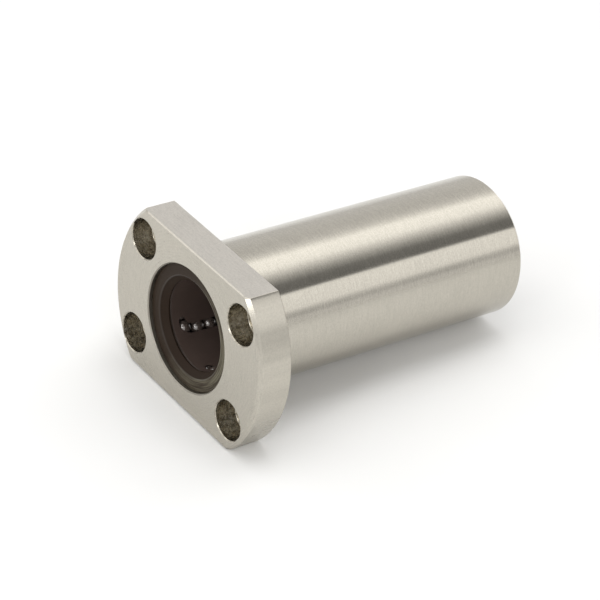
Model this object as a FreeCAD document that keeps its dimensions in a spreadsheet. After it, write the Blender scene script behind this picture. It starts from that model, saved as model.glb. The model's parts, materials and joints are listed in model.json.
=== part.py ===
import FreeCAD, Part
import math
import os

import Sketcher

# Flanged linear ball bushing of the long type for a 20 mm shaft.
#
# Part frame: origin on the axis, in the flange's seating face; +Y runs along the tube to its tail, +Z is up
# and the flange's two flats face up and down.
#
# Every piece is drawn in the bushing frame, whose z is the distance from the flange's front face, x points
# right and y down. The rear pieces are the front ones turned end for end, so they are drawn the same way and
# their z is the distance from the tail's end face.

Vector = FreeCAD.Vector
Rotation = FreeCAD.Rotation
Placement = FreeCAD.Placement

# Driving dimensions: name, value in millimetres or degrees, meaning.
DIMENSIONS = [
    ("shaft_dia", 20.0, "shaft that the loaded balls touch"),
    ("body_dia", 32.0, "outside of the tube"),
    ("full_length", 80.0, "front face to tail"),
    ("flange_dia", 54.0, "flange across its round sides"),
    ("flange_flats", 38.0, "flange across its flats"),
    ("flange_thickness", 8.0, "flange front face to seating face"),
    ("flange_front_chamfer", 0.8, "turned chamfer on the flange's front edge"),
    ("flange_back_chamfer", 0.3, "turned chamfer on the flange's back edge"),
    ("flat_edge_break", 0.25, "broken edges of the two flats"),
    ("tail_chamfer", 0.7, "lead-in chamfer on the tail's outside"),
    ("hole_spacing_wide", 36.0, "bolt holes, along the flats"),
    ("hole_spacing_high", 24.0, "bolt holes, across the flats"),
    ("hole_dia", 5.5, "bolt clearance hole"),
    ("counterbore_dia", 9.0, "screw head counterbore"),
    ("counterbore_depth", 5.1, "screw head counterbore"),
    ("hole_edge_break", 0.2, "chamfer on the mouths of the holes"),
    ("seal_seat_dia", 28.4, "bore that holds the seal"),
    ("mouth_chamfer", 0.25, "chamfer on the bore's mouth"),
    ("ring_groove_start", 3.05, "retaining ring groove, near wall"),
    ("ring_groove_end", 3.9, "retaining ring groove, far wall"),
    ("ring_groove_dia", 29.6, "retaining ring groove, floor"),
    ("turn_bore_dia", 26.9, "bore round the ball turns"),
    ("land_dia", 26.39, "raceway lands over the loaded balls"),
    ("land_lead_in", 0.5, "length of the cone at each end of a land"),
    ("channel_dia", 28.2, "relief channels over the return balls"),
    ("channel_angle", 54.0, "width of a relief channel"),
    ("circuit_count", 5, "ball circuits in each retainer"),
    ("circuit_angle", 72.0, "from one loaded row to the next"),
    ("first_row_angle", 67.0, "first loaded row, from x towards y"),
    ("ball_dia", 3.175, "steel ball"),
    ("ball_pitch", 3.2, "from one ball of a straight row to the next"),
    ("row_balls", 8, "balls in a straight row"),
    ("row_start", 8.1, "start of the straight rows"),
    ("turn_size", 2.26, "centre line of a ball turn"),
    ("loop_bore", 3.23, "width of the ball loop in the retainer"),
    ("retainer_start", 3.2, "outer end of a retainer"),
    ("retainer_end", 38.6, "inner end of a retainer"),
    ("retainer_bore", 20.8, "inside of a retainer"),
    ("retainer_dia", 27.9, "outside of a retainer in the relief channels"),
    ("retainer_land_dia", 26.0, "outside of a retainer under the lands"),
    ("retainer_land_angle", 21.0, "width of a retainer's valley under a land"),
    ("retainer_spigot_dia", 26.4, "end spigot inside the retaining ring"),
    ("retainer_edge", 0.25, "chamfers on a retainer's bore"),
    ("seal_start", 1.0, "outer face of a seal"),
    ("seal_end", 3.0, "inner face of a seal"),
    ("seal_face_dia", 22.8, "inner edge of a seal's flat face"),
    ("seal_edge_round", 0.3, "rounding at the inner edge of a seal's face"),
    ("seal_outer_round", 0.2, "rounding at the outer edge of a seal's face"),
    ("seal_throat_dia", 22.2, "seal at the foot of its rounded edge"),
    ("seal_throat_depth", 1.45, "seal at the foot of its rounded edge"),
    ("lip_dia", 20.04, "seal lip"),
    ("lip_start", 2.5, "seal lip, near edge"),
    ("lip_end", 2.8, "seal lip, far edge"),
    ("lip_root_dia", 21.4, "back of the seal lip"),
    ("case_bore", 23.6, "stiffener inside the seal"),
    ("case_dia", 27.5, "stiffener inside the seal"),
    ("case_step_dia", 26.4, "inside of the stiffener's outer leg"),
    ("case_leg_start", 1.7, "near end of the stiffener's outer leg"),
    ("case_plate_start", 2.5, "near face of the stiffener's plate"),
    ("snap_ring_start", 3.1, "retaining ring, near face"),
    ("snap_ring_end", 3.85, "retaining ring, far face"),
    ("snap_ring_bore", 26.6, "retaining ring"),
    ("snap_ring_dia", 29.5, "retaining ring"),
    ("snap_ring_edge", 0.12, "broken edges of the retaining ring"),
    ("snap_ring_gap", 26.0, "opening of the retaining ring"),
    ("spacer_start", 38.7, "ring between the retainers"),
    ("spacer_end", 41.3, "ring between the retainers"),
    ("spacer_bore", 21.4, "ring between the retainers"),
    ("spacer_dia", 26.2, "ring between the retainers"),
    ("spacer_edge", 0.3, "chamfers on the ring between the retainers"),
]

# Values worked out from the driving dimensions.
ROW_RADIUS = "(Dimensions.shaft_dia + Dimensions.ball_dia) / 2"
RETURN_SIDE = "2 * Dimensions.turn_size"
ROW_END = "Dimensions.row_start + Dimensions.row_balls * Dimensions.ball_pitch"

CLEAR_OF_PIECE = 3.0      # how far a cutting outline reaches past the material
SAME_PLACE = 1e-4         # two measures closer than this are the same
TURN_BALL_ANGLES = [45, 135]

document = FreeCAD.newDocument("linear_ball_bushing")


def fill_sheet():
    """Put the driving dimensions in the document's spreadsheet, each under its own name."""
    sheet = document.addObject("Spreadsheet::Sheet", "Dimensions")
    for row, (name, value, meaning) in enumerate(DIMENSIONS, start=1):
        sheet.set(f"A{row}", name)
        sheet.set(f"B{row}", str(value))
        sheet.set(f"C{row}", meaning)
        sheet.setAlias(f"B{row}", name)
    document.recompute()
    return sheet


dimensions = fill_sheet()


def radius(name):
    """The expression for half of a diameter in the sheet."""
    return f"Dimensions.{name} / 2"


def seat(piece, rear=False, angle=0.0):
    """Place a piece drawn in the bushing frame, turned about the axis and, at the rear, end for end."""
    quarter_turn = 90 if rear else -90
    lay_down = Rotation(Vector(1, 0, 0), quarter_turn)
    spin = Rotation(Vector(0, 0, 1), -angle if rear else angle)
    piece.Placement = Placement(Vector(0, 0, 0), lay_down * spin)
    if rear:
        piece.setExpression("Placement.Base.y", "Dimensions.full_length - Dimensions.flange_thickness")
    else:
        piece.setExpression("Placement.Base.y", "-Dimensions.flange_thickness")


def new_body(name, rear=False, angle=0.0):
    body = document.addObject("PartDesign::Body", name)
    body.Label = name
    seat(body, rear, angle)
    return body


def new_sketch(body, name, role, offset=None):
    """A sketch on one of the body's own origin planes."""
    sketch = body.newObject("Sketcher::SketchObject", name)
    plane = next(item for item in body.Origin.OriginFeatures if item.Role == role)
    sketch.AttachmentSupport = (plane, "")
    sketch.MapMode = "FlatFace"
    if offset is not None:
        sketch.AttachmentOffset = offset
    return sketch


def pin_point(sketch, geometry, end, across, up):
    """Tie a point of the sketch to the sheet: its two distances from the sketch's origin."""
    for kind, expression in (("DistanceX", across), ("DistanceY", up)):
        value = sketch.evalExpression(expression)
        index = sketch.addConstraint(Sketcher.Constraint(kind, -1, 1, geometry, end, value))
        sketch.setExpression(f"Constraints[{index}]", expression)


def draw_outline(sketch, corners):
    """A closed outline of straight lines; each corner is a pair of expressions."""
    points = [Vector(sketch.evalExpression(across), sketch.evalExpression(up), 0) for across, up in corners]
    first = sketch.GeometryCount
    count = len(points)
    for i in range(count):
        sketch.addGeometry(Part.LineSegment(points[i], points[(i + 1) % count]))
    for i in range(count):
        following = first + (i + 1) % count
        sketch.addConstraint(Sketcher.Constraint("Coincident", first + i, 2, following, 1))
    for i, (across, up) in enumerate(corners):
        pin_point(sketch, first + i, 1, across, up)


def draw_circle(sketch, across, up, size):
    centre = Vector(sketch.evalExpression(across), sketch.evalExpression(up), 0)
    circle = sketch.addGeometry(Part.Circle(centre, Vector(0, 0, 1), sketch.evalExpression(size)))
    pin_point(sketch, circle, 3, across, up)
    index = sketch.addConstraint(Sketcher.Constraint("Radius", circle, sketch.evalExpression(size)))
    sketch.setExpression(f"Constraints[{index}]", size)


def draw_at_holes(sketch, size):
    """A circle at each of the four bolt holes."""
    for across in ("", "-1 * "):
        for up in ("", "-1 * "):
            draw_circle(sketch, f"{across}Dimensions.hole_spacing_wide / 2",
                        f"{up}Dimensions.hole_spacing_high / 2", size)


def draw_loop(sketch, reach):
    """A closed loop of two straight runs and two half circles round the centres of the two ball turns.

    In this sketch across is round the tube and up is along its axis; reach is the expression for the half
    circles' radius.
    """
    size = sketch.evalExpression(reach)
    middle = sketch.evalExpression("Dimensions.turn_size")
    low = sketch.evalExpression("Dimensions.row_start")
    high = sketch.evalExpression(ROW_END)
    normal = Vector(0, 0, 1)

    def run(side, start, end):
        return sketch.addGeometry(Part.LineSegment(Vector(side, start, 0), Vector(side, end, 0)))

    def half_circle(centre, first_angle):
        circle = Part.Circle(Vector(middle, centre, 0), normal, size)
        return sketch.addGeometry(Part.ArcOfCircle(circle, first_angle, first_angle + math.pi))

    loaded_run = run(middle - size, low, high)
    inner_turn = half_circle(high, 0)
    return_run = run(middle + size, high, low)
    outer_turn = half_circle(low, math.pi)
    for line, line_end, arc, arc_end in (
        (loaded_run, 2, inner_turn, 2),
        (return_run, 1, inner_turn, 1),
        (return_run, 2, outer_turn, 2),
        (loaded_run, 1, outer_turn, 1),
    ):
        sketch.addConstraint(Sketcher.Constraint("Tangent", line, line_end, arc, arc_end))
    pin_point(sketch, outer_turn, 3, "Dimensions.turn_size", "Dimensions.row_start")
    pin_point(sketch, inner_turn, 3, "Dimensions.turn_size", ROW_END)
    index = sketch.addConstraint(Sketcher.Constraint("Radius", outer_turn, size))
    sketch.setExpression(f"Constraints[{index}]", reach)


def revolve(body, name, corners):
    """A full turned solid from a half section: across is the radius, up is the place along the axis."""
    sketch = new_sketch(body, name + "Section", "XZ_Plane")
    draw_outline(sketch, corners)
    turned = body.newObject("PartDesign::Revolution", name)
    turned.Profile = sketch
    turned.ReferenceAxis = (sketch, ["V_Axis"])
    turned.Angle = 360
    document.recompute()
    return turned


def groove(body, name, corners, width, middle=0.0):
    """Cut a turned band of a given angular width; middle is the angle of its centre from x towards y."""
    offset = Placement(Vector(0, 0, 0), Rotation(Vector(0, 1, 0), middle))
    sketch = new_sketch(body, name + "Section", "XZ_Plane", offset)
    draw_outline(sketch, corners)
    cut = body.newObject("PartDesign::Groove", name)
    cut.Profile = sketch
    cut.ReferenceAxis = (sketch, ["V_Axis"])
    cut.Midplane = True
    cut.Angle = dimensions.getPropertyByName(width)
    cut.setExpression("Angle", f"Dimensions.{width}")
    document.recompute()
    return cut


def pocket(body, name, sketch, depth):
    """Cut along the sketch's normal."""
    cut = body.newObject("PartDesign::Pocket", name)
    cut.Profile = sketch
    cut.Reversed = True
    cut.Length = sketch.evalExpression(depth)
    cut.setExpression("Length", depth)
    document.recompute()
    return cut


def repeat_round(body, name, features):
    """Repeat features for every ball circuit and make the result the body's tip."""
    pattern = body.newObject("PartDesign::PolarPattern", name)
    pattern.Originals = features
    z_axis = next(item for item in body.Origin.OriginFeatures if item.Role == "Z_Axis")
    pattern.Axis = (z_axis, [""])
    pattern.Angle = 360
    pattern.setExpression("Occurrences", "Dimensions.circuit_count")
    body.Tip = pattern
    document.recompute()
    return pattern


def dress(body, kind, name, size, wanted):
    """Chamfer or fillet the edges of the body's tip for which wanted(edge) is true."""
    base = body.Tip
    edges = [f"Edge{i}" for i, edge in enumerate(base.Shape.Edges, start=1) if wanted(edge)]
    if not edges:
        raise RuntimeError(f"{name} found no edge")
    feature = body.newObject(f"PartDesign::{kind}", name)
    feature.Base = (base, edges)
    measure = "Size" if kind == "Chamfer" else "Radius"
    feature.setExpression(measure, f"Dimensions.{size}")
    document.recompute()
    return feature


def same(one, other):
    return abs(one - other) < SAME_PLACE


def is_rim(edge, size, height):
    """True for a round edge of a given diameter at a given distance along the axis."""
    curve = edge.Curve
    return isinstance(curve, Part.Circle) and same(curve.Radius, size / 2) and same(curve.Center.z, height)


def outer_cylinder_section():
    """The half section of the tube and flange: outside first, then the bore from the tail to the front."""
    flange_back = "Dimensions.flange_thickness"
    length = "Dimensions.full_length"
    outside = [
        (radius("flange_dia") + " - Dimensions.flange_front_chamfer", "0"),
        (radius("flange_dia"), "Dimensions.flange_front_chamfer"),
        (radius("flange_dia"), flange_back + " - Dimensions.flange_back_chamfer"),
        (radius("flange_dia") + " - Dimensions.flange_back_chamfer", flange_back),
        (radius("body_dia"), flange_back),
        (radius("body_dia"), length + " - Dimensions.tail_chamfer"),
        (radius("body_dia") + " - Dimensions.tail_chamfer", length),
    ]
    half_bore = [
        (radius("seal_seat_dia") + " + Dimensions.mouth_chamfer", "0"),
        (radius("seal_seat_dia"), "Dimensions.mouth_chamfer"),
        (radius("seal_seat_dia"), "Dimensions.ring_groove_start"),
        (radius("ring_groove_dia"), "Dimensions.ring_groove_start"),
        (radius("ring_groove_dia"), "Dimensions.ring_groove_end"),
        (radius("turn_bore_dia"), "Dimensions.ring_groove_end"),
        (radius("turn_bore_dia"), "Dimensions.row_start - Dimensions.land_lead_in"),
        (radius("land_dia"), "Dimensions.row_start"),
        (radius("land_dia"), ROW_END),
        (radius("turn_bore_dia"), ROW_END + " + Dimensions.land_lead_in"),
    ]
    far_half = [(across, f"{length} - ({up})") for across, up in half_bore]
    return outside + far_half + half_bore[::-1]


def make_outer_cylinder():
    """Hardened steel tube and flange in one piece, with the ball tracks in its bore."""
    body = new_body("outer_cylinder")
    revolve(body, "TurnedBlank", outer_cylinder_section())

    flats = new_sketch(body, "FlatsOutline", "XY_Plane")
    outside = f"{radius('flange_dia')} + {CLEAR_OF_PIECE}"
    edge = radius("flange_flats")
    for side in ("", "-1 * "):
        corners = [(f"-({outside})", edge), (outside, edge), (outside, outside), (f"-({outside})", outside)]
        draw_outline(flats, [(across, f"{side}({up})") for across, up in corners])
    pocket(body, "Flats", flats, "Dimensions.flange_thickness")

    half_flats = dimensions.flange_flats / 2
    dress(body, "Chamfer", "FlatEdges", "flat_edge_break",
          lambda edge: all(same(abs(corner.Y), half_flats) for corner in edge.Vertexes)
          and isinstance(edge.Curve, Part.Line) and same(abs(edge.tangentAt(edge.FirstParameter).x), 1))

    centres = new_sketch(body, "HoleCentres", "XY_Plane")
    draw_at_holes(centres, radius("hole_dia"))
    document.recompute()
    holes = body.newObject("PartDesign::Hole", "BoltHoles")
    holes.Profile = centres
    holes.Reversed = True
    holes.ThreadType = "None"
    holes.DepthType = "ThroughAll"
    holes.HoleCutType = "Counterbore"
    holes.HoleCutCustomValues = True
    holes.DrillPoint = "Flat"
    holes.setExpression("Diameter", "Dimensions.hole_dia")
    holes.setExpression("HoleCutDiameter", "Dimensions.counterbore_dia")
    holes.setExpression("HoleCutDepth", "Dimensions.counterbore_depth")
    document.recompute()

    dress(body, "Chamfer", "HoleBackEdges", "hole_edge_break",
          lambda edge: is_rim(edge, dimensions.hole_dia, dimensions.flange_thickness))
    mouths = new_sketch(body, "HoleMouthOutlines", "XY_Plane")
    draw_at_holes(mouths, radius("counterbore_dia") + " + Dimensions.hole_edge_break")
    mouth_cones = pocket(body, "HoleMouths", mouths, "Dimensions.hole_edge_break")
    mouth_cones.TaperAngle = -45
    document.recompute()

    halfway = dimensions.circuit_angle / 2
    channel_end = "Dimensions.full_length - Dimensions.ring_groove_end"
    floor = radius("channel_dia")
    inside = f"{radius('land_dia')} - {CLEAR_OF_PIECE}"
    channel = groove(body, "ReliefChannel", [
        (inside, "Dimensions.ring_groove_end"),
        (floor, "Dimensions.ring_groove_end"),
        (floor, channel_end),
        (inside, channel_end),
    ], "channel_angle", dimensions.first_row_angle + halfway)
    repeat_round(body, "ReliefChannels", [channel])
    return body


def make_retainer(name, rear):
    """Moulded ball retainer with its loaded rows at every circuit_angle from its own x axis."""
    body = new_body(name, rear, dimensions.first_row_angle)
    start = "Dimensions.retainer_start"
    end = "Dimensions.retainer_end"
    bore = radius("retainer_bore")
    edge = "Dimensions.retainer_edge"
    revolve(body, "Sleeve", [
        (f"{bore} + {edge}", start),
        (radius("retainer_spigot_dia"), start),
        (radius("retainer_spigot_dia"), "Dimensions.ring_groove_end"),
        (radius("retainer_dia"), "Dimensions.ring_groove_end"),
        (radius("retainer_dia"), end),
        (f"{bore} + {edge}", end),
        (bore, f"{end} - {edge}"),
        (bore, f"{start} + {edge}"),
    ])

    outside = f"{radius('retainer_dia')} + {CLEAR_OF_PIECE}"
    past_start = f"{start} - {CLEAR_OF_PIECE}"
    past_end = f"{end} + {CLEAR_OF_PIECE}"
    valley = groove(body, "LandValley", [
        (radius("retainer_land_dia"), past_start),
        (outside, past_start),
        (outside, past_end),
        (radius("retainer_land_dia"), past_end),
    ], "retainer_land_angle")

    circuit_plane = Placement(Vector(0, 0, body.evalExpression(ROW_RADIUS)), Rotation())
    path = new_sketch(body, "LoopCentreLine", "YZ_Plane", circuit_plane)
    path.setExpression("AttachmentOffset.Base.z", ROW_RADIUS)
    draw_loop(path, "Dimensions.turn_size")

    row_start_plane = Placement(Vector(0, 0, dimensions.row_start), Rotation())
    section = new_sketch(body, "LoopSection", "XY_Plane", row_start_plane)
    section.setExpression("AttachmentOffset.Base.z", "Dimensions.row_start")
    draw_circle(section, ROW_RADIUS, "0", radius("loop_bore"))
    loop = body.newObject("PartDesign::SubtractivePipe", "BallLoop")
    loop.Profile = section
    loop.Spine = path
    document.recompute()

    mouth = new_sketch(body, "LoopMouthOutline", "YZ_Plane", circuit_plane)
    mouth.setExpression("AttachmentOffset.Base.z", ROW_RADIUS)
    draw_loop(mouth, f"Dimensions.turn_size + {radius('loop_bore')}")
    draw_loop(mouth, f"Dimensions.turn_size - {radius('loop_bore')}")
    opening = pocket(body, "LoopMouth", mouth, radius("retainer_dia"))

    repeat_round(body, "Circuits", [valley, loop, opening])
    return body


def make_seal_lip(name, rear):
    """Rubber seal, its face set back from the bore's mouth and its lip close round the shaft."""
    body = new_body(name, rear)
    revolve(body, "SealRubber", [
        (radius("seal_face_dia"), "Dimensions.seal_start"),
        (radius("seal_seat_dia"), "Dimensions.seal_start"),
        (radius("seal_seat_dia"), "Dimensions.seal_end"),
        (radius("case_dia"), "Dimensions.seal_end"),
        (radius("case_dia"), "Dimensions.case_leg_start"),
        (radius("case_step_dia"), "Dimensions.case_leg_start"),
        (radius("case_step_dia"), "Dimensions.case_plate_start"),
        (radius("case_bore"), "Dimensions.case_plate_start"),
        (radius("case_bore"), "Dimensions.seal_end"),
        (radius("lip_root_dia"), "Dimensions.seal_end"),
        (radius("lip_dia"), "Dimensions.lip_end"),
        (radius("lip_dia"), "Dimensions.lip_start"),
        (radius("seal_throat_dia"), "Dimensions.seal_throat_depth"),
    ])
    start = dimensions.seal_start
    dress(body, "Fillet", "FaceInnerEdge", "seal_edge_round",
          lambda edge: is_rim(edge, dimensions.seal_face_dia, start))
    dress(body, "Fillet", "FaceOuterEdge", "seal_outer_round",
          lambda edge: is_rim(edge, dimensions.seal_seat_dia, start))
    return body


def make_seal_case(name, rear):
    """Steel stiffener of angle section, bonded into the back of the seal's rubber."""
    body = new_body(name, rear)
    revolve(body, "CaseAngle", [
        (radius("case_bore"), "Dimensions.case_plate_start"),
        (radius("case_step_dia"), "Dimensions.case_plate_start"),
        (radius("case_step_dia"), "Dimensions.case_leg_start"),
        (radius("case_dia"), "Dimensions.case_leg_start"),
        (radius("case_dia"), "Dimensions.seal_end"),
        (radius("case_bore"), "Dimensions.seal_end"),
    ])
    return body


def make_retaining_ring(name, rear):
    """Open snap ring that sits in the tube's groove and holds the retainer in."""
    body = new_body(name, rear)
    start = "Dimensions.snap_ring_start"
    end = "Dimensions.snap_ring_end"
    bore = radius("snap_ring_bore")
    outside = radius("snap_ring_dia")
    edge = "Dimensions.snap_ring_edge"
    revolve(body, "RingBlank", [
        (bore, start),
        (f"{outside} - {edge}", start),
        (outside, f"{start} + {edge}"),
        (outside, f"{end} - {edge}"),
        (f"{outside} - {edge}", end),
        (bore, end),
    ])
    past_start = f"{start} - {CLEAR_OF_PIECE}"
    past_end = f"{end} + {CLEAR_OF_PIECE}"
    groove(body, "RingGap", [
        (f"{bore} - {CLEAR_OF_PIECE}", past_start),
        (f"{outside} + {CLEAR_OF_PIECE}", past_start),
        (f"{outside} + {CLEAR_OF_PIECE}", past_end),
        (f"{bore} - {CLEAR_OF_PIECE}", past_end),
    ], "snap_ring_gap", 90.0)
    return body


def make_centre_spacer():
    """Plain ring that keeps the two retainers apart in the middle of the tube."""
    body = new_body("centre_spacer")
    start = "Dimensions.spacer_start"
    end = "Dimensions.spacer_end"
    bore = radius("spacer_bore")
    outside = radius("spacer_dia")
    edge = "Dimensions.spacer_edge"
    revolve(body, "SpacerRing", [
        (f"{bore} + {edge}", start),
        (f"{outside} - {edge}", start),
        (outside, f"{start} + {edge}"),
        (outside, f"{end} - {edge}"),
        (f"{outside} - {edge}", end),
        (f"{bore} + {edge}", end),
        (bore, f"{end} - {edge}"),
        (bore, f"{start} + {edge}"),
    ])
    return body


def straight_row(side):
    """Ball places of a straight row, as expressions across (y) and along (z) in the circuit's frame."""
    return [(side, f"Dimensions.row_start + Dimensions.ball_pitch * {i + 0.5}")
            for i in range(int(dimensions.row_balls))]


def turn(centre, sense):
    """Ball places of a turn; sense is -1 for the turn beyond the row's outer end and 1 for the inner one."""
    return [(f"Dimensions.turn_size * (1 - cos({angle} deg))",
             f"{centre} + {sense} * Dimensions.turn_size * sin({angle} deg)")
            for angle in TURN_BALL_ANGLES]


def make_ball_group(name, places, rear, angle):
    """The balls of one circuit that move as one, as separate spheres."""
    balls = []
    for i, (across, along) in enumerate(places, start=1):
        ball = document.addObject("Part::Sphere", f"{name}_ball_{i}")
        ball.setExpression("Radius", radius("ball_dia"))
        ball.setExpression("Placement.Base.x", ROW_RADIUS)
        ball.setExpression("Placement.Base.y", across)
        ball.setExpression("Placement.Base.z", along)
        balls.append(ball)
    group = document.addObject("Part::Compound", name)
    group.Label = name
    group.Links = balls
    seat(group, rear, angle)
    return group


def make_circuits():
    """Every ball circuit: a loaded row, a return row and the two turns that join them."""
    groups = {
        "loaded_balls": straight_row("0"),
        "return_balls": straight_row(RETURN_SIDE),
        "outer_turn_balls": turn("Dimensions.row_start", -1),
        "inner_turn_balls": turn(ROW_END, 1),
    }
    made = []
    for end, rear in (("front", False), ("rear", True)):
        for i in range(int(dimensions.circuit_count)):
            angle = dimensions.first_row_angle + i * dimensions.circuit_angle
            for kind, places in groups.items():
                made.append(make_ball_group(f"{end}_{kind}_{i + 1}", places, rear, angle))
    return made


def check_document(pieces):
    """Stop if an object failed, a cut removed nothing, or a piece is not made of valid solids."""
    for item in document.Objects:
        if "Invalid" in item.State or "Error" in item.State:
            raise RuntimeError(f"{item.Name} failed: {item.State}")
        if item.TypeId in ("PartDesign::Pocket", "PartDesign::Groove", "PartDesign::Hole",
                           "PartDesign::SubtractivePipe", "PartDesign::PolarPattern"):
            removed = item.BaseFeature.Shape.Volume - item.Shape.Volume
            if removed <= 0:
                raise RuntimeError(f"{item.Name} removed nothing")
    for piece in pieces:
        shape = piece.Shape
        if shape.isNull() or not shape.isValid() or not shape.Solids:
            raise RuntimeError(f"{piece.Label} has no valid shape")


def main():
    pieces = [make_outer_cylinder(), make_centre_spacer()]
    for end, rear in (("front", False), ("rear", True)):
        pieces.append(make_seal_lip(f"{end}_seal_lip", rear))
        pieces.append(make_seal_case(f"{end}_seal_case", rear))
        pieces.append(make_retaining_ring(f"{end}_retaining_ring", rear))
        pieces.append(make_retainer(f"{end}_retainer", rear))
    pieces.extend(make_circuits())
    document.recompute()
    check_document(pieces)

    os.makedirs("parts", exist_ok=True)
    for piece in pieces:
        piece.Shape.exportStep(f"parts/{piece.Label}.step")
        box = piece.Shape.BoundBox
        print(f"{piece.Label}: {len(piece.Shape.Solids)} solids, {piece.Shape.Volume:.1f} mm3, "
              f"y {box.YMin:.2f} to {box.YMax:.2f}")


main()
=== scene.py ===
import json
import math

import bmesh
import bpy
from mathutils import Matrix, Vector, geometry


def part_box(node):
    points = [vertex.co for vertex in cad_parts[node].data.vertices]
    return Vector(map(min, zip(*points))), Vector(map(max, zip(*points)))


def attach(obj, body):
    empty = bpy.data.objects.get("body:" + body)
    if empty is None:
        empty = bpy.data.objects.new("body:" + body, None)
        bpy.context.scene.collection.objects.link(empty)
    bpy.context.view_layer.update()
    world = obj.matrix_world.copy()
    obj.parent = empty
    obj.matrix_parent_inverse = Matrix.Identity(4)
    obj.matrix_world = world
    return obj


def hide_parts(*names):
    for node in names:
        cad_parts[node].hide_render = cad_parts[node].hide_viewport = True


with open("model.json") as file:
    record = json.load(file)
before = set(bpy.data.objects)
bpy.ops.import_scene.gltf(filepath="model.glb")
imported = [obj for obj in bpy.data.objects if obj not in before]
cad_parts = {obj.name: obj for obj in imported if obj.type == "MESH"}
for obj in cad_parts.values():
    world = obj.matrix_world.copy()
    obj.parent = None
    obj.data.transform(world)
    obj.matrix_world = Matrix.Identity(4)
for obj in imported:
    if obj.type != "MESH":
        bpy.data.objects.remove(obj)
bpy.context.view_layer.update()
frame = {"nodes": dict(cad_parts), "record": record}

# Looks of a flanged linear ball bushing. Metres; the tube's axis is Y, the flange's front face is the
# lowest Y and the flange's two flats face up and down.
#
# "Depth" is a distance from an end face into the bushing. Both ends hold the same pieces, turned end for end.

MM = 0.001

# Places and sizes that the frame gives.
BODY_LOW, BODY_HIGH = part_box("outer_cylinder")
MOUNTS = {mount["name"]: mount for mount in frame["record"]["mounts"]}
FRONT = BODY_LOW.y
SEAT = MOUNTS["flange_seat"]["pos_m"][1]
TAIL = BODY_HIGH.y
FLANGE_RADIUS = min(BODY_HIGH.x, -BODY_LOW.x)
FLAT_HEIGHT = BODY_HIGH.z
TUBE_RADIUS = MOUNTS["tube_outside"]["dims"]["r_mm"] * MM
HOLE_RADIUS = MOUNTS["flange_holes"]["dims"]["hole_r_mm"] * MM
HOLE_X = MOUNTS["flange_holes"]["dims"]["spacing_x_mm"] * MM / 2
HOLE_Z = MOUNTS["flange_holes"]["dims"]["spacing_y_mm"] * MM / 2
HOLE_CENTRES = [(x, z) for x in (-HOLE_X, HOLE_X) for z in (-HOLE_Z, HOLE_Z)]

# The outer cylinder's edges and its bore.
FRONT_CHAMFER = 0.8 * MM
BACK_CHAMFER = 0.3 * MM
FLAT_EDGE = 0.25 * MM
CORNER_ROUND = 0.2 * MM
TAIL_CHAMFER = 0.7 * MM
COUNTERBORE_RADIUS = 4.5 * MM
COUNTERBORE_DEPTH = 5.1 * MM
TOOL_RADIUS = 0.2 * MM
HOLE_EDGE = 0.2 * MM
MOUTH_MARGIN = 0.02 * MM
MOUTH_RADIUS = 14.45 * MM
CHANNEL_WIDTH = math.radians(54)
CIRCUIT_ANGLE = math.radians(72)
FIRST_CHANNEL = math.radians(-103)

# Half of the bore, from an end face inwards: depth, radius over the lands, radius in the relief channels.
HALF_BORE = [
    (0.0 * MM, MOUTH_RADIUS, MOUTH_RADIUS),
    (0.25 * MM, 14.2 * MM, 14.2 * MM),
    (3.05 * MM, 14.2 * MM, 14.2 * MM),
    (3.05 * MM, 14.8 * MM, 14.8 * MM),
    (3.9 * MM, 14.8 * MM, 14.8 * MM),
    (3.9 * MM, 13.45 * MM, 14.1 * MM),
    (7.6 * MM, 13.45 * MM, 14.1 * MM),
    (8.1 * MM, 13.195 * MM, 14.1 * MM),
    (33.7 * MM, 13.195 * MM, 14.1 * MM),
    (34.2 * MM, 13.45 * MM, 14.1 * MM),
]

# Round steps of the meshes.
TUBE_STEPS = 256
BORE_STEPS = 180
HOLE_STEPS = 96
RING_STEPS = 192
ARC_STEPS = 72
FLAT_STEPS = 72
CORNER_STEPS = 3
TOOL_STEPS = 3
ROUNDING_STEPS = 5
TUBE_BANDS = 24

# Two vertices closer than this are one, and edges sharper than this stay crisp.
SAME_PLACE = 1e-7
CRISP_ABOVE = math.radians(25)

# Heights (metres) and angles (radians) that differ by less than this are the same.
SAME_HEIGHT = 1e-9
SAME_ANGLE = 1e-6

# Corners of a quad are compared on a grid this fine, in steps per metre.
CORNER_GRID = 1e8

# Blender's triangulation: what it gives back, and how near two of its points may be.
INSIDE_WITHOUT_HOLES = 2
POINT_GAP = 1e-8

# Material slots of the outer cylinder's mesh.
GROUND, TURNED, MILLED, DRILLED, TRACK = range(5)


# ---------------------------------------------------------------- mesh helpers


def new_piece(name, bm, materials, body="housing"):
    """Turn a bmesh into an object that rides on a CAD body."""
    bmesh.ops.remove_doubles(bm, verts=bm.verts, dist=SAME_PLACE)
    bmesh.ops.dissolve_degenerate(bm, dist=SAME_PLACE, edges=bm.edges)
    bmesh.ops.recalc_face_normals(bm, faces=bm.faces)
    mesh = bpy.data.meshes.new(name)
    bm.to_mesh(mesh)
    bm.free()
    mesh.shade_smooth()
    mesh.set_sharp_from_angle(angle=CRISP_ABOVE)
    for material in materials:
        mesh.materials.append(material)
    piece = bpy.data.objects.new(name, mesh)
    bpy.context.scene.collection.objects.link(piece)
    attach(piece, body)
    return piece


def circle(radius, count, centre=(0.0, 0.0)):
    """(x, z) points from +X towards +Z."""
    angles = [2 * math.pi * i / count for i in range(count)]
    return [(centre[0] + radius * math.cos(a), centre[1] + radius * math.sin(a)) for a in angles]


def add_ring(bm, points, y):
    return [bm.verts.new((x, y, z)) for x, z in points]


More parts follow.
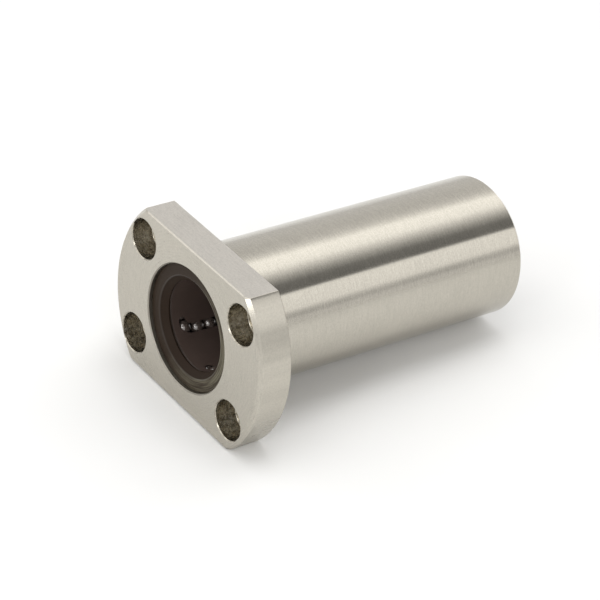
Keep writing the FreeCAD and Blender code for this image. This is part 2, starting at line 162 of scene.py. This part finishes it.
def join_rings(bm, one, other, material=0):
    """Quads between two closed rings that have as many points; a quad shrunk to a line is left out."""
    for i in range(len(one)):
        j = (i + 1) % len(one)
        corners = [one[i], one[j], other[j], other[i]]
        places = {tuple(round(value * CORNER_GRID) for value in vert.co) for vert in corners}
        if len(places) > 2:
            bm.faces.new(corners).material_index = material


def revolve(bm, profile, count, material, centre=(0.0, 0.0)):
    """A turned surface through a list of (radius, y)."""
    rings = [add_ring(bm, circle(radius, count, centre), y) for radius, y in profile]
    for one, other in zip(rings, rings[1:]):
        join_rings(bm, one, other, material)
    return rings


def rounded(corners):
    """A closed section from (radius, depth, rounding) corners, with an arc at each rounded corner."""
    section = []
    for i, (across, depth, size) in enumerate(corners):
        corner = Vector((across, depth))
        if not size:
            section.append(corner)
            continue
        before = (Vector(corners[i - 1][:2]) - corner).normalized()
        after = (Vector(corners[(i + 1) % len(corners)][:2]) - corner).normalized()
        half_angle = before.angle(after) / 2
        middle = corner + (before + after).normalized() * size / math.sin(half_angle)
        start = corner + before * size / math.tan(half_angle) - middle
        end = corner + after * size / math.tan(half_angle) - middle
        for step in range(ROUNDING_STEPS + 1):
            spoke = start.lerp(end, step / ROUNDING_STEPS).normalized() * size
            section.append(middle + spoke)
    return section


def end_place(depth, rear):
    """The Y of a place at that depth from the front face, or from the tail's."""
    return TAIL - depth if rear else FRONT + depth


def ring_piece(name, corners, material, rear, gap=0.0, gap_middle=0.0):
    """A ring of a given section that stands for the CAD node of its name; gap is an opening in radians."""
    bm = bmesh.new()
    section = rounded([tuple(value * MM for value in corner) for corner in corners])
    steps = RING_STEPS if not gap else RING_STEPS - 1
    spokes = []
    for i in range(RING_STEPS):
        angle = gap_middle + gap / 2 + (2 * math.pi - gap) * i / steps
        cosine, sine = math.cos(angle), math.sin(angle)
        spokes.append([bm.verts.new((across * cosine, end_place(depth, rear), across * sine))
                       for across, depth in section])
    for one, other in zip(spokes, spokes[1:]):
        join_rings(bm, one, other)
    if gap:
        bm.faces.new(spokes[0])
        bm.faces.new(spokes[-1])
    else:
        join_rings(bm, spokes[-1], spokes[0])
    piece = new_piece(name + "_look", bm, [material])
    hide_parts(name)


# ---------------------------------------------------------------- outer cylinder


def flange_outline(radius, height):
    """(x, z) points of the flange's outline: two arcs and two flats, with rounded corners between them."""
    corner_z = height - CORNER_ROUND
    corner_x = math.sqrt((radius - CORNER_ROUND) ** 2 - corner_z ** 2)
    lean = math.atan2(corner_z, corner_x)
    points = []

    def arc(centre, size, start, end, steps):
        for i in range(steps):
            angle = start + (end - start) * i / steps
            points.append((centre[0] + size * math.cos(angle), centre[1] + size * math.sin(angle)))

    def straight(start_x, z):
        for i in range(FLAT_STEPS):
            points.append((start_x * (1 - 2 * i / FLAT_STEPS), z))

    half_turn = math.pi
    arc((0, 0), radius, -lean, lean, ARC_STEPS)
    arc((corner_x, corner_z), CORNER_ROUND, lean, half_turn / 2, CORNER_STEPS)
    straight(corner_x, height)
    arc((-corner_x, corner_z), CORNER_ROUND, half_turn / 2, half_turn - lean, CORNER_STEPS)
    arc((0, 0), radius, half_turn - lean, half_turn + lean, ARC_STEPS)
    arc((-corner_x, -corner_z), CORNER_ROUND, half_turn + lean, 1.5 * half_turn, CORNER_STEPS)
    straight(-corner_x, -height)
    arc((corner_x, -corner_z), CORNER_ROUND, 1.5 * half_turn, 2 * half_turn - lean, CORNER_STEPS)
    return points


def edge_depth(x, z, chamfer):
    """How far the flange's outline lies behind its face, through the chamfers of the rim and of the flats."""
    rim_drop = chamfer - (FLANGE_RADIUS - math.hypot(x, z))
    flat_drop = FLAT_EDGE - (FLAT_HEIGHT - abs(z))
    return max(rim_drop, flat_drop)


def add_flat(bm, y, loops):
    """A flat turned face at y, inside the first loop and outside the others."""
    points = []
    areas = []
    for loop in loops:
        areas.append(range(len(points), len(points) + len(loop)))
        points.extend(Vector(point) for point in loop)
    found = geometry.delaunay_2d_cdt(points, [], areas, INSIDE_WITHOUT_HOLES, POINT_GAP)
    flat_points, _, triangles, *_ = found
    verts = [bm.verts.new((point.x, y, point.y)) for point in flat_points]
    for triangle in triangles:
        bm.faces.new([verts[i] for i in triangle]).material_index = TURNED


def hole_mouth(centre, radius, chamfer):
    """The round mouth of a bolt hole, pulled in where it would run into the chamfer of the flange's rim."""
    limit = FLANGE_RADIUS - chamfer - MOUTH_MARGIN
    points = []
    for x, z in circle(1.0, HOLE_STEPS):
        along = centre[0] * x + centre[1] * z
        reach = math.sqrt(limit ** 2 - math.hypot(*centre) ** 2 + along ** 2) - along
        size = min(radius, reach)
        points.append((centre[0] + size * x, centre[1] + size * z))
    return points


def add_flange_face(bm, y, inward, chamfer, hole_radius, inner):
    """One face of the flange and the chamfers round it; returns the outline's vertices.

    inward is 1 or -1 along Y and inner is the loop that the face ends at inside.
    """
    rim = flange_outline(FLANGE_RADIUS - chamfer, FLAT_HEIGHT - FLAT_EDGE)
    mouths = [hole_mouth(centre, hole_radius + HOLE_EDGE, chamfer) for centre in HOLE_CENTRES]
    add_flat(bm, y, [rim, inner, *mouths])
    outline = [bm.verts.new((x, y + inward * edge_depth(x, z, chamfer), z))
               for x, z in flange_outline(FLANGE_RADIUS, FLAT_HEIGHT)]
    join_rings(bm, add_ring(bm, rim, y), outline, TURNED)
    return outline


def add_flange_side(bm, front, back):
    """The rim and the flats, between the outlines of the two faces."""
    for i in range(len(front)):
        j = (i + 1) % len(front)
        face = bm.faces.new((front[i], front[j], back[j], back[i]))
        on_flat = abs(front[i].co.z - front[j].co.z) < SAME_HEIGHT
        face.material_index = MILLED if on_flat else TURNED


def bore_ring(land_radius, channel_radius):
    """(x, z) points round the bore; at a channel's edge there are two, one on each radius."""
    points = []
    for i in range(BORE_STEPS):
        angle = 2 * math.pi * i / BORE_STEPS
        off_middle = (angle - FIRST_CHANNEL + CIRCUIT_ANGLE / 2) % CIRCUIT_ANGLE - CIRCUIT_ANGLE / 2
        past_edge = abs(off_middle) - CHANNEL_WIDTH / 2
        if abs(past_edge) < SAME_ANGLE:
            radii = [land_radius, channel_radius] if off_middle < 0 else [channel_radius, land_radius]
        else:
            radii = [channel_radius if past_edge < 0 else land_radius]
        points.extend((radius * math.cos(angle), radius * math.sin(angle)) for radius in radii)
    return points


def add_bore(bm):
    levels = [(FRONT + depth, land, channel) for depth, land, channel in HALF_BORE]
    levels += [(TAIL - depth, land, channel) for depth, land, channel in reversed(HALF_BORE)]
    rings = [add_ring(bm, bore_ring(land, channel), y) for y, land, channel in levels]
    for one, other in zip(rings, rings[1:]):
        join_rings(bm, one, other, TRACK)


def add_bolt_hole(bm, centre):
    floor = FRONT + COUNTERBORE_DEPTH
    wall = COUNTERBORE_RADIUS
    back_mouth = [(HOLE_RADIUS, SEAT - HOLE_EDGE), (HOLE_RADIUS + HOLE_EDGE, SEAT)]
    turns = [math.pi / 2 * i / TOOL_STEPS for i in range(TOOL_STEPS + 1)]
    corner = [(wall - TOOL_RADIUS * (1 - math.cos(turn)), floor - TOOL_RADIUS * (1 - math.sin(turn)))
              for turn in turns]
    inside = [(wall, FRONT + HOLE_EDGE), *corner, (HOLE_RADIUS, floor), back_mouth[0]]
    rings = revolve(bm, inside, HOLE_STEPS, DRILLED, centre)
    mouth = add_ring(bm, hole_mouth(centre, wall + HOLE_EDGE, FRONT_CHAMFER), FRONT)
    join_rings(bm, mouth, rings[0], DRILLED)
    revolve(bm, back_mouth, HOLE_STEPS, TURNED, centre)


def make_outer_cylinder(materials):
    bm = bmesh.new()
    bore_mouth = circle(MOUTH_RADIUS, BORE_STEPS)
    front = add_flange_face(bm, FRONT, 1, FRONT_CHAMFER, COUNTERBORE_RADIUS, bore_mouth)
    back = add_flange_face(bm, SEAT, -1, BACK_CHAMFER, HOLE_RADIUS, circle(TUBE_RADIUS, TUBE_STEPS))
    add_flange_side(bm, front, back)
    for centre in HOLE_CENTRES:
        add_bolt_hole(bm, centre)
    tube_end = TAIL - TAIL_CHAMFER
    bands = [(TUBE_RADIUS, SEAT + (tube_end - SEAT) * i / TUBE_BANDS) for i in range(TUBE_BANDS + 1)]
    revolve(bm, bands, TUBE_STEPS, GROUND)
    revolve(bm, [(TUBE_RADIUS, tube_end), (TUBE_RADIUS - TAIL_CHAMFER, TAIL)], TUBE_STEPS, TURNED)
    add_flat(bm, TAIL, [circle(TUBE_RADIUS - TAIL_CHAMFER, TUBE_STEPS), bore_mouth])
    add_bore(bm)
    piece = new_piece("outer_cylinder_look", bm, materials)
    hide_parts("outer_cylinder")


# ---------------------------------------------------------------- materials


class Tree:
    """Short ways to add shader nodes to a material or a world."""

    def __init__(self, owner):
        owner.use_nodes = True
        self.tree = owner.node_tree
        self.tree.nodes.clear()

    def add(self, kind, inputs=None, **settings):
        node = self.tree.nodes.new(kind)
        for name, value in settings.items():
            setattr(node, name, value)
        for name, value in (inputs or {}).items():
            if isinstance(value, bpy.types.NodeSocket):
                self.tree.links.new(value, node.inputs[name])
            else:
                node.inputs[name].default_value = value
        return node

    def maths(self, operation, *values):
        return self.add("ShaderNodeMath", dict(enumerate(values)), operation=operation).outputs[0]

    def vector(self, operation, *values):
        node = self.add("ShaderNodeVectorMath", dict(enumerate(values)), operation=operation)
        return node.outputs[1 if operation == "LENGTH" else 0]

    def noise(self, vector, scale, detail=2.0, roughness=0.5):
        inputs = {"Vector": vector, "Scale": scale, "Detail": detail, "Roughness": roughness}
        return self.add("ShaderNodeTexNoise", inputs).outputs["Fac"]

    def spread(self, value, low, high, start=0.3, end=0.7):
        """Map a noise value to the range low to high."""
        inputs = {"Value": value, "From Min": start, "From Max": end, "To Min": low, "To Max": high}
        return self.add("ShaderNodeMapRange", inputs).outputs["Result"]

    def colours(self, value, one, other):
        node = self.add("ShaderNodeMix", data_type="RGBA")
        self.tree.links.new(value, node.inputs["Factor"])
        node.inputs["A"].default_value = (*one, 1)
        node.inputs["B"].default_value = (*other, 1)
        return node.outputs["Result"]


def new_material(name):
    material = bpy.data.materials.new(name)
    return material, Tree(material)


def finish_material(tree, shader):
    tree.add("ShaderNodeOutputMaterial", {"Surface": shader})


# Bright steel: its colour, the sizes of its tool marks (how wide, how deep, how many times longer than wide),
# specks and patches, and how much the patches and the marks change its shine.
BRIGHT_STEEL = (0.49, 0.463, 0.405)
MARK_SIZE = 0.2 * MM
MARK_DEPTH = 0.0008 * MM
MARK_LENGTH = 14
SPECK_SIZE = 0.35 * MM
PATCH_SIZE = 9 * MM
PATCH_CHANGE = 0.02
LINE_CHANGE = 0.03

# Noise of the other materials: scales are cells per metre, depths are metres, SKIN_CHANGE is of roughness.
TORN_STREAKS = (2200.0, 500.0, 2200.0)
STAIN_SCALE = 1300.0
TORN_DEPTH = 0.006 * MM
HAZE_SCALE = 900.0
ROLLED_LINES = (400.0, 4000.0, 400.0)
ROLLED_DEPTH = 0.001 * MM
SKIN_SCALE = 2500.0
SKIN_DEPTH = 0.004 * MM
SKIN_CHANGE = 0.04
FLOW_SCALE = 160.0
FLECK_SCALE = 40.0

# The seal's painted light, a lighter colour painted on one side of its outer face: scales of its patches and
# rings (cells per metre), how it leans and spreads, the depths between which it fades in, and the radii
# between which the seal's glossy inner edge fades out.
PAINTED_LIGHT_WOBBLE_SCALE = 420.0
PAINTED_LIGHT_WOBBLE_REACH = 8 * MM
FILM_RING_SCALE = 5000.0
FILM_RING_DRIFT = 120.0
PAINTED_LIGHT_TILT = -0.25
PAINTED_LIGHT_SPREAD = 14 * MM
FILM_FADE_DEPTH = (1.3 * MM, 1.05 * MM)
GLOSSY_EDGE = (11.35 * MM, 11.65 * MM)


def machined_steel(name, marks, colour=BRIGHT_STEEL, roughness=0.28, stretch=0.7, grain=0.07):
    """Bright steel with tool marks.

    marks tells how they run: "round" on a tube, "rings" on a faced end or "straight" along X on a flat.
    """
    material, tree = new_material(name)
    place = tree.add("ShaderNodeTexCoord").outputs["Object"]
    x, y, z = tree.add("ShaderNodeSeparateXYZ", {0: place}).outputs
    out_of_axis = tree.add("ShaderNodeCombineXYZ", {"X": x, "Z": z}).outputs[0]
    fine = 1 / MARK_SIZE
    slow = fine / MARK_LENGTH
    if marks == "rings":
        across = tree.vector("LENGTH", out_of_axis)
        line_place = tree.add("ShaderNodeCombineXYZ", {
            "X": tree.maths("MULTIPLY", x, slow),
            "Y": tree.maths("MULTIPLY", across, fine),
            "Z": tree.maths("MULTIPLY", z, slow),
        }).outputs[0]
    else:
        line_place = tree.vector("MULTIPLY", place, (slow, fine, slow))
    lines = tree.noise(line_place, 1.0, 3.0, 0.6)
    specks = tree.noise(place, 1 / SPECK_SIZE, 2.0, 0.6)
    patches = tree.noise(place, 1 / PATCH_SIZE, 2.0)
    uneven = tree.spread(patches, -PATCH_CHANGE, PATCH_CHANGE)

    tone = tree.maths("ADD", tree.spread(lines, -grain, grain), uneven)
    tone = tree.maths("ADD", tone, tree.spread(specks, -grain, grain))
    base = tree.add("ShaderNodeVectorMath", {0: colour, "Scale": tree.maths("ADD", tone, 1.0)},
                    operation="SCALE").outputs[0]
    rough = tree.maths("ADD", tree.spread(lines, roughness - LINE_CHANGE, roughness + LINE_CHANGE), uneven)
    bump = tree.add("ShaderNodeBump", {"Height": tree.maths("ADD", lines, specks), "Distance": MARK_DEPTH,
                                       "Strength": 1.0})
    surface = {"Base Color": base, "Metallic": 1.0, "Roughness": rough, "Normal": bump.outputs[0]}
    if marks != "straight":
        around = tree.vector("CROSS_PRODUCT", place, (0.0, 1.0, 0.0))
        normal = tree.add("ShaderNodeNewGeometry").outputs["Normal"]
        surface["Tangent"] = tree.vector("NORMALIZE", tree.vector("CROSS_PRODUCT", normal, around))
        surface["Anisotropic"] = stretch
    finish_material(tree, tree.add("ShaderNodeBsdfPrincipled", surface).outputs[0])
    return material


def drilled_steel():
    """Walls of the screw holes: torn, oily steel, darker and rougher than the ground outside."""
    material, tree = new_material("drilled_steel")
    place = tree.add("ShaderNodeTexCoord").outputs["Object"]
    streaks = tree.noise(tree.vector("MULTIPLY", place, TORN_STREAKS), 1.0, 3.0, 0.6)
    spots = tree.noise(place, STAIN_SCALE, 3.0, 0.6)
    stain = tree.maths("MULTIPLY", tree.spread(spots, 0.4, 1.0, 0.35, 0.65), tree.spread(streaks, 0.4, 1.0))
    surface = {
        "Base Color": tree.colours(stain, (0.20, 0.175, 0.135), (0.66, 0.625, 0.54)),
        "Metallic": 1.0,
        "Roughness": tree.spread(spots, 0.18, 0.36),
        "Normal": tree.add("ShaderNodeBump", {"Height": tree.maths("ADD", streaks, spots),
                                              "Distance": TORN_DEPTH}).outputs[0],
    }
    finish_material(tree, tree.add("ShaderNodeBsdfPrincipled", surface).outputs[0])
    return material


def ball_steel():
    """Polished chrome steel under a thin layer of brown grease."""
    material, tree = new_material("ball_steel")
    place = tree.add("ShaderNodeTexCoord").outputs["Object"]
    haze = tree.noise(place, HAZE_SCALE, 3.0)
    surface = {
        "Base Color": tree.colours(haze, (0.10, 0.078, 0.067), (0.15, 0.12, 0.105)),
        "Metallic": 0.3,
        "Roughness": tree.spread(haze, 0.25, 0.4),
        "Coat Weight": 1.0,
        "Coat IOR": 2.2,
        "Coat Roughness": 0.03,
    }
    finish_material(tree, tree.add("ShaderNodeBsdfPrincipled", surface).outputs[0])
    return material


def thin_steel(name, colour, roughness):
    """Rolled or drawn sheet and wire, with the lines of its rolling."""
    material, tree = new_material(name)
    place = tree.add("ShaderNodeTexCoord").outputs["Object"]
    lines = tree.noise(tree.vector("MULTIPLY", place, ROLLED_LINES), 1.0, 3.0)
    surface = {
        "Base Color": tree.colours(lines, tuple(0.85 * part for part in colour), colour),
        "Metallic": 1.0,
        "Roughness": tree.spread(lines, roughness - 0.05, roughness + 0.05),
        "Normal": tree.add("ShaderNodeBump", {"Height": lines, "Distance": ROLLED_DEPTH}).outputs[0],
    }
    finish_material(tree, tree.add("ShaderNodeBsdfPrincipled", surface).outputs[0])
    return material


def moulded(name, colour, roughness):
    """Rubber or plastic as it leaves the mould: an even colour, a fine grain and slight shine marks."""
    material, tree = new_material(name)
    place = tree.add("ShaderNodeTexCoord").outputs["Object"]
    skin = tree.noise(place, SKIN_SCALE, 3.0, 0.6)
    flow = tree.noise(place, FLOW_SCALE, 2.0)
    darker, lighter = (tuple(share * part for part in colour) for share in (0.85, 1.15))
    shine = tree.spread(flow, roughness - 0.05, roughness + 0.05)
    surface = {
        "Base Color": tree.colours(flow, darker, lighter),
        "Roughness": tree.maths("ADD", tree.spread(skin, -SKIN_CHANGE, SKIN_CHANGE), shine),
        "Normal": tree.add("ShaderNodeBump", {"Height": skin, "Distance": SKIN_DEPTH}).outputs[0],
    }
    finish_material(tree, tree.add("ShaderNodeBsdfPrincipled", surface).outputs[0])
    return material


def seal_rubber():
    """Brown-black rubber with painted light: its outer face is painted lighter towards +X and a little
    towards -Z, in streaky rings.
    """
    material, tree = new_material("seal_rubber")
    place = tree.add("ShaderNodeTexCoord").outputs["Object"]
    x, y, z = tree.add("ShaderNodeSeparateXYZ", {0: place}).outputs
    across = tree.vector("LENGTH", tree.add("ShaderNodeCombineXYZ", {"X": x, "Z": z}).outputs[0])
    skin = tree.noise(place, SKIN_SCALE, 3.0, 0.6)
    painted_light_wobble = tree.noise(place, PAINTED_LIGHT_WOBBLE_SCALE, 3.0)
    rings = tree.noise(tree.add("ShaderNodeCombineXYZ", {
        "X": tree.maths("MULTIPLY", x, FILM_RING_DRIFT),
        "Y": tree.maths("MULTIPLY", across, FILM_RING_SCALE),
        "Z": tree.maths("MULTIPLY", z, FILM_RING_DRIFT),
    }).outputs[0], 1.0, 3.0, 0.6)
    # Painted light: the outer face grows lighter towards +X and a little towards -Z, with a noisy wobble at
    # the edge of the lighter part.
    lower = tree.maths("ADD", x, tree.maths("MULTIPLY", z, PAINTED_LIGHT_TILT))
    lower = tree.maths("ADD", lower, tree.maths("MULTIPLY", painted_light_wobble, PAINTED_LIGHT_WOBBLE_REACH))
    lower = tree.spread(lower, 0.05, 1.0, 0.0, PAINTED_LIGHT_SPREAD)
    from_middle = tree.maths("ABSOLUTE", tree.maths("SUBTRACT", y, (FRONT + TAIL) / 2))
    fade_start, fade_end = ((TAIL - FRONT) / 2 - depth for depth in FILM_FADE_DEPTH)
    outer = tree.spread(from_middle, 0.0, 1.0, fade_start, fade_end)
    edge = tree.spread(across, 1.0, 0.0, *GLOSSY_EDGE)
    gloss = tree.maths("MULTIPLY", edge, outer)
    # The lighter base colour is painted light, kept to the outer face and broken into streaky rings.
    film_and_painted_light = tree.maths("MULTIPLY", tree.maths("MULTIPLY", lower, outer),
                      tree.spread(rings, 0.1, 1.0, 0.42, 0.62))
    surface = {
        "Base Color": tree.colours(film_and_painted_light, (0.026, 0.016, 0.010), (0.135, 0.122, 0.085)),
        "Roughness": tree.maths("ADD", tree.spread(skin, -SKIN_CHANGE, SKIN_CHANGE),
                                tree.spread(gloss, 0.5, 0.3, 0.0, 1.0)),
        "Specular IOR Level": tree.spread(gloss, 0.1, 0.4, 0.0, 1.0),
        "Normal": tree.add("ShaderNodeBump", {"Height": skin, "Distance": SKIN_DEPTH}).outputs[0],
    }
    finish_material(tree, tree.add("ShaderNodeBsdfPrincipled", surface).outputs[0])
    return material


# ---------------------------------------------------------------- inner pieces


# Sections of the rings: radius, depth and rounding of each corner, in millimetres.
SEAL_SECTION = [
    (11.4, 1.0, 0.4), (14.2, 1.0, 0.2), (14.2, 3.0, 0.1), (13.75, 3.0, 0.0), (13.75, 1.7, 0.0),
    (13.2, 1.7, 0.0), (13.2, 2.5, 0.0), (11.8, 2.5, 0.0), (11.8, 3.0, 0.0), (10.7, 3.0, 0.05),
    (10.02, 2.8, 0.03), (10.02, 2.5, 0.03), (11.1, 1.45, 0.2),
]
CASE_SECTION = [
    (11.8, 2.5, 0.05), (13.2, 2.5, 0.02), (13.2, 1.7, 0.05), (13.75, 1.7, 0.05), (13.75, 3.0, 0.2),
    (11.8, 3.0, 0.05),
]
SNAP_RING_SECTION = [
    (13.3, 3.1, 0.08), (14.75, 3.1, 0.12), (14.75, 3.85, 0.12), (13.3, 3.85, 0.08),
]
SPACER_SECTION = [
    (10.7, 38.7, 0.3), (13.1, 38.7, 0.3), (13.1, 41.3, 0.3), (10.7, 41.3, 0.3),
]
SNAP_RING_GAP = math.radians(26)
DOWN = math.radians(-90)


def make_inner_pieces(rubber, case_steel, spring, spacer_plastic):
    for end, rear in (("front", False), ("rear", True)):
        ring_piece(f"{end}_seal_lip", SEAL_SECTION, rubber, rear)
        ring_piece(f"{end}_seal_case", CASE_SECTION, case_steel, rear)
        ring_piece(f"{end}_retaining_ring", SNAP_RING_SECTION, spring, rear,
                   SNAP_RING_GAP, DOWN)
    ring_piece("centre_spacer", SPACER_SECTION, spacer_plastic, False)


def dress_cad_nodes(looks):
    """Give the CAD nodes that stay shown their materials, by the word in the node's name."""
    for name, node in frame["nodes"].items():
        for word, material in looks.items():
            if word in name:
                node.data.materials.clear()
                node.data.materials.append(material)


# ---------------------------------------------------------------- room


# Brightness round the tube's axis: degrees above +X, value. One long strip lamp hangs nearly overhead, a
# softbox stands on the right, and a dark gap lies between them.
TENT = [
    (0, 0.92), (8, 0.90), (12, 0.68), (16, 0.76), (23, 1.32), (47, 1.42), (49.5, 0.22), (64, 0.27),
    (74, 0.62), (84, 1.17), (92, 1.66), (110, 1.83), (118, 1.24), (126, 0.95), (138, 0.85), (160, 0.86),
    (180, 0.80),
]

# The tent's end walls, its colour, and the floor.
END_WALLS = 0.96
END_WALL_FADE = (0.8, 0.95)
TENT_COLOUR = (1.0, 0.995, 0.985, 1.0)
FLOOR_HALF = 3.0
FLOOR_SLOPE = math.atan2(FLAT_HEIGHT - TUBE_RADIUS, TAIL - SEAT)


def light_tent():
    """A soft tent of light whose walls run along the tube, with plain end walls."""
    scene = bpy.context.scene
    scene.world = bpy.data.worlds.new("light_tent")
    tree = Tree(scene.world)
    direction = tree.add("ShaderNodeTexCoord").outputs["Generated"]
    x, y, z = tree.add("ShaderNodeSeparateXYZ", {0: direction}).outputs
    angle = tree.maths("ARCTAN2", tree.maths("MAXIMUM", z, 0.0), x)
    share = tree.maths("DIVIDE", angle, math.pi)
    ramp = tree.add("ShaderNodeValToRGB", {"Fac": share})
    brightest = max(value for _, value in TENT)
    elements = ramp.color_ramp.elements
    while len(elements) < len(TENT):
        elements.new(0.5)
    for element, (degrees, value) in zip(elements, TENT):
        element.position = degrees / 180
        grey = value / brightest
        element.color = (grey, grey, grey, 1)
    walls = tree.maths("MULTIPLY", ramp.outputs["Color"], brightest)
    endness = tree.spread(tree.maths("ABSOLUTE", y), 0.0, 1.0, *END_WALL_FADE)
    mixed = tree.add("ShaderNodeMix", {"Factor": endness, "A": walls, "B": END_WALLS}, data_type="FLOAT")
    background = tree.add("ShaderNodeBackground", {"Color": TENT_COLOUR, "Strength": mixed.outputs[0]})
    tree.add("ShaderNodeOutputWorld", {"Surface": background.outputs[0]})


# Directions of the small lamps, from the middle of the object.
FRONT_LAMP = (0.34, -0.83, 0.44)
LEFT_LAMP = (-0.64, -0.54, 0.546)
OVERHEAD_LAMP = (0.05, 0.0, 1.0)


def soft_light(name, direction, distance, size, radiance):
    """A square softbox that faces the middle of the object."""
    data = bpy.data.lights.new(name, "AREA")
    data.size = size
    data.energy = radiance * math.pi * size ** 2
    light = bpy.data.objects.new(name, data)
    bpy.context.scene.collection.objects.link(light)
    towards = Vector(direction).normalized()
    centre = Vector((0.0, (FRONT + TAIL) / 2, 0.0))
    turn = towards.to_track_quat("Z", "Y").to_matrix().to_4x4()
    light.matrix_world = Matrix.Translation(centre + towards * distance) @ turn
    return light


def make_floor():
    """A pale floor that the flange's lower edge and the tail stand on."""
    material, tree = new_material("pale_floor")
    place = tree.add("ShaderNodeTexCoord").outputs["Object"]
    fleck = tree.noise(place, FLECK_SCALE, 2.0)
    surface = {"Base Color": tree.colours(fleck, (0.86, 0.86, 0.855), (0.88, 0.88, 0.875)), "Roughness": 0.9,
               "Specular IOR Level": 0.1}
    finish_material(tree, tree.add("ShaderNodeBsdfPrincipled", surface).outputs[0])
    bm = bmesh.new()
    bmesh.ops.create_grid(bm, x_segments=2, y_segments=2, size=FLOOR_HALF)
    mesh = bpy.data.meshes.new("floor")
    bm.to_mesh(mesh)
    bm.free()
    mesh.materials.append(material)
    floor = bpy.data.objects.new("floor", mesh)
    bpy.context.scene.collection.objects.link(floor)
    floor.matrix_world = Matrix.Translation((0, SEAT, -FLAT_HEIGHT)) @ Matrix.Rotation(FLOOR_SLOPE, 4, "X")


# The camera: where it looks, from which side and how far, and its lens.
CAMERA_AIM = Vector((0.0, 22.2 * MM, -1.26 * MM))
CAMERA_AZIMUTH = math.radians(49.51)
CAMERA_ELEVATION = math.radians(32.745)
CAMERA_ROLL = math.radians(8.355)
CAMERA_DISTANCE = 533.2 * MM
CAMERA_LENS = 147.37


def make_camera():
    data = bpy.data.cameras.new("camera")
    data.lens = CAMERA_LENS
    data.clip_start = 0.01
    camera = bpy.data.objects.new("camera", data)
    bpy.context.scene.collection.objects.link(camera)
    back = Vector((math.sin(CAMERA_AZIMUTH) * math.cos(CAMERA_ELEVATION),
                   -math.cos(CAMERA_AZIMUTH) * math.cos(CAMERA_ELEVATION),
                   math.sin(CAMERA_ELEVATION)))
    turn = back.to_track_quat("Z", "Y").to_matrix().to_4x4() @ Matrix.Rotation(CAMERA_ROLL, 4, "Z")
    camera.matrix_world = Matrix.Translation(CAMERA_AIM + back * CAMERA_DISTANCE) @ turn
    bpy.context.scene.camera = camera


# ---------------------------------------------------------------- the scene


make_outer_cylinder([
    machined_steel("ground_steel", "round", roughness=0.17, stretch=0.8, grain=0.065),
    machined_steel("turned_steel", "rings", roughness=0.30, stretch=0.6),
    machined_steel("milled_steel", "straight", colour=(0.59, 0.56, 0.515), roughness=0.34),
    drilled_steel(),
    machined_steel("track_steel", "round", colour=(0.30, 0.28, 0.24), roughness=0.38, stretch=0.3),
])
make_inner_pieces(
    seal_rubber(),
    thin_steel("sheet_steel", (0.45, 0.44, 0.42), 0.35),
    thin_steel("spring_steel", (0.30, 0.28, 0.25), 0.3),
    moulded("spacer_plastic", (0.05, 0.048, 0.045), 0.45),
)
dress_cad_nodes({
    "retainer": moulded("retainer_plastic", (0.084, 0.058, 0.048), 0.5),
    "_balls_": ball_steel(),
})
light_tent()
soft_light("front_softbox", FRONT_LAMP, distance=0.6, size=0.11, radiance=7.5)
soft_light("left_softbox", LEFT_LAMP, distance=0.6, size=0.25, radiance=0.9)
fill = soft_light("floor_fill", OVERHEAD_LAMP, distance=0.5, size=0.2, radiance=3.0)
fill.visible_glossy = False
make_floor()
make_camera()
bpy.context.scene.view_settings.view_transform = "Standard"
